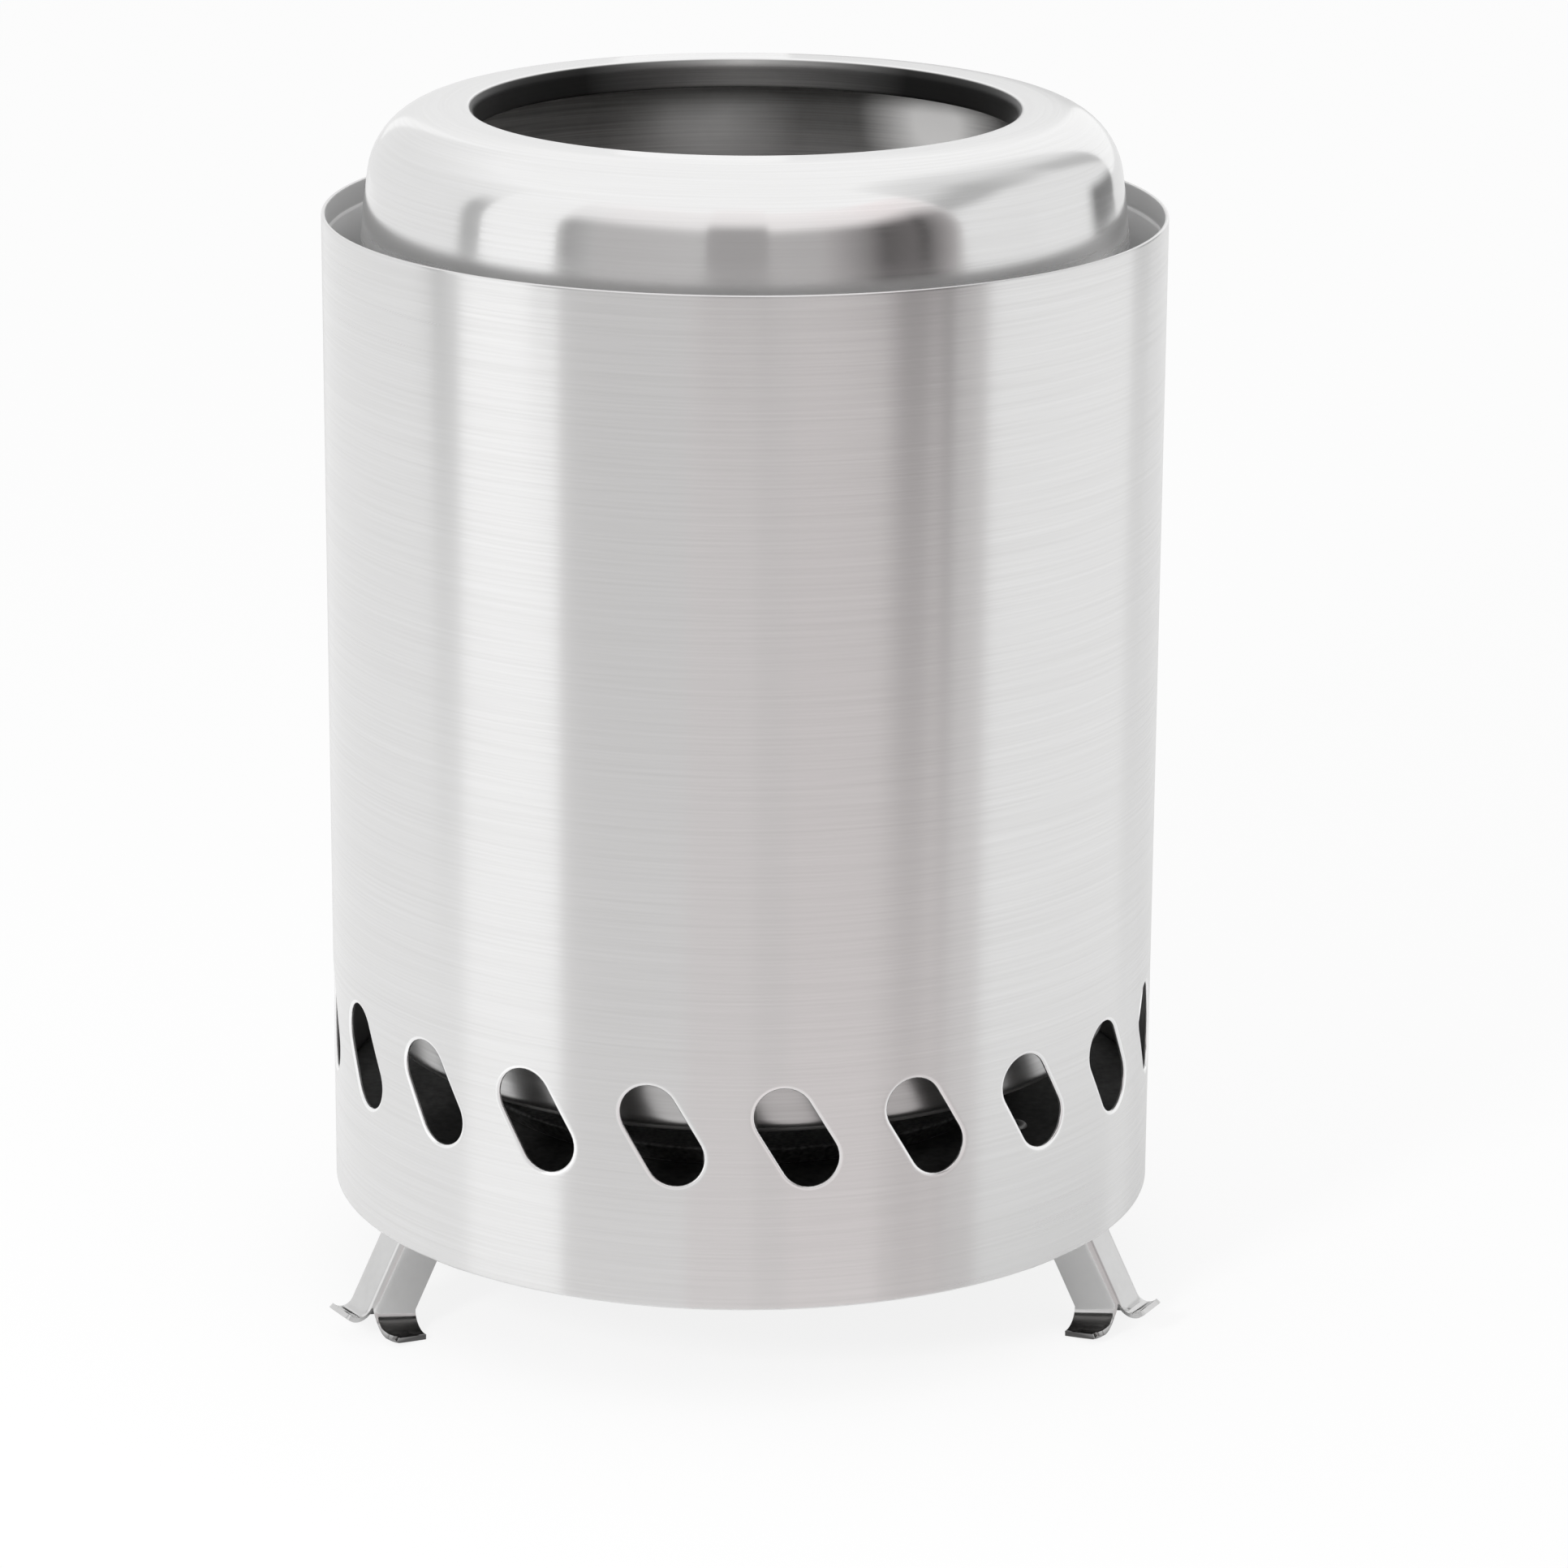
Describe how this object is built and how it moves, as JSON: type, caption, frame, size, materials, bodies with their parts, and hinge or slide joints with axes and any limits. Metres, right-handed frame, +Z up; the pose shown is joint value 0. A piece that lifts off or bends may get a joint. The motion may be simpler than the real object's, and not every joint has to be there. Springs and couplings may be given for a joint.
{
  "type": "twig stove",
  "caption": "Double-walled steel twig stove: slotted round shell, inner fire can with lift-out grate and ash tray, domed lift-off flame ring, folding splayed legs.",
  "frame": {"origin": "on the stove's upright axis, on the ground its feet stand on", "axes": "+Z up along the axis, -Y towards the front of the picture, +X to the right"},
  "size_m": [0.1302, 0.138, 0.1875],
  "materials": {
    "shell_steel": "brushed round the shell",
    "ring_steel": "satin",
    "can_steel": "satin, heat-darkened inside",
    "base_steel": "satin",
    "grate_steel": "heat-darkened",
    "tray_steel": "heat-darkened",
    "bracket_steel": "plain",
    "rivet_steel": "plain",
    "leg_steel": "polished"
  },
  "bodies": {
    "stove_body": {"outer_shell": "shell_steel", "base_plate": "base_steel", "inner_can": "can_steel", "can_bracket_front": "bracket_steel", "can_bracket_right": "bracket_steel", "can_bracket_left": "bracket_steel", "bracket_foot_rivets": "rivet_steel", "bracket_wall_rivets": "rivet_steel", "leg_clip_left": "bracket_steel", "leg_clip_right": "bracket_steel", "leg_clip_rear": "bracket_steel", "leg_pin_left": "rivet_steel", "leg_pin_right": "rivet_steel", "leg_pin_rear": "rivet_steel", "clip_rivets": "rivet_steel"},
    "flame_ring": {"flame_ring": "ring_steel"},
    "fire_grate": {"fire_grate": "grate_steel"},
    "ash_tray": {"ash_tray": "tray_steel"},
    "leg_left": {"leg_left": "leg_steel"},
    "leg_right": {"leg_right": "leg_steel"},
    "leg_rear": {"leg_rear": "leg_steel"}
  },
  "joints": [
    {"name": "flame_ring_lift", "type": "slide", "parent": "stove_body", "child": "flame_ring", "axis": [0, 0, 1], "range_m": [0, 0.06]},
    {"name": "grate_lift", "type": "slide", "parent": "stove_body", "child": "fire_grate", "axis": [0, 0, 1], "range_m": [0, 0.1]},
    {"name": "ash_tray_lift", "type": "slide", "parent": "stove_body", "child": "ash_tray", "axis": [0, 0, 1], "range_m": [0, 0.0065]},
    {"name": "leg_left_fold", "type": "hinge", "parent": "stove_body", "child": "leg_left", "pos_m": [-0.04693, -0.02865, 0.02375], "axis": [0.521, -0.8536, 0], "range_deg": [0, 116]},
    {"name": "leg_right_fold", "type": "hinge", "parent": "stove_body", "child": "leg_right", "pos_m": [0.04827, -0.02632, 0.02375], "axis": [0.4787, 0.878, 0], "range_deg": [0, 116]},
    {"name": "leg_rear_fold", "type": "hinge", "parent": "stove_body", "child": "leg_rear", "pos_m": [-0.00134, 0.05497, 0.02375], "axis": [-0.9997, -0.0244, 0], "range_deg": [0, 116]}
  ]
}
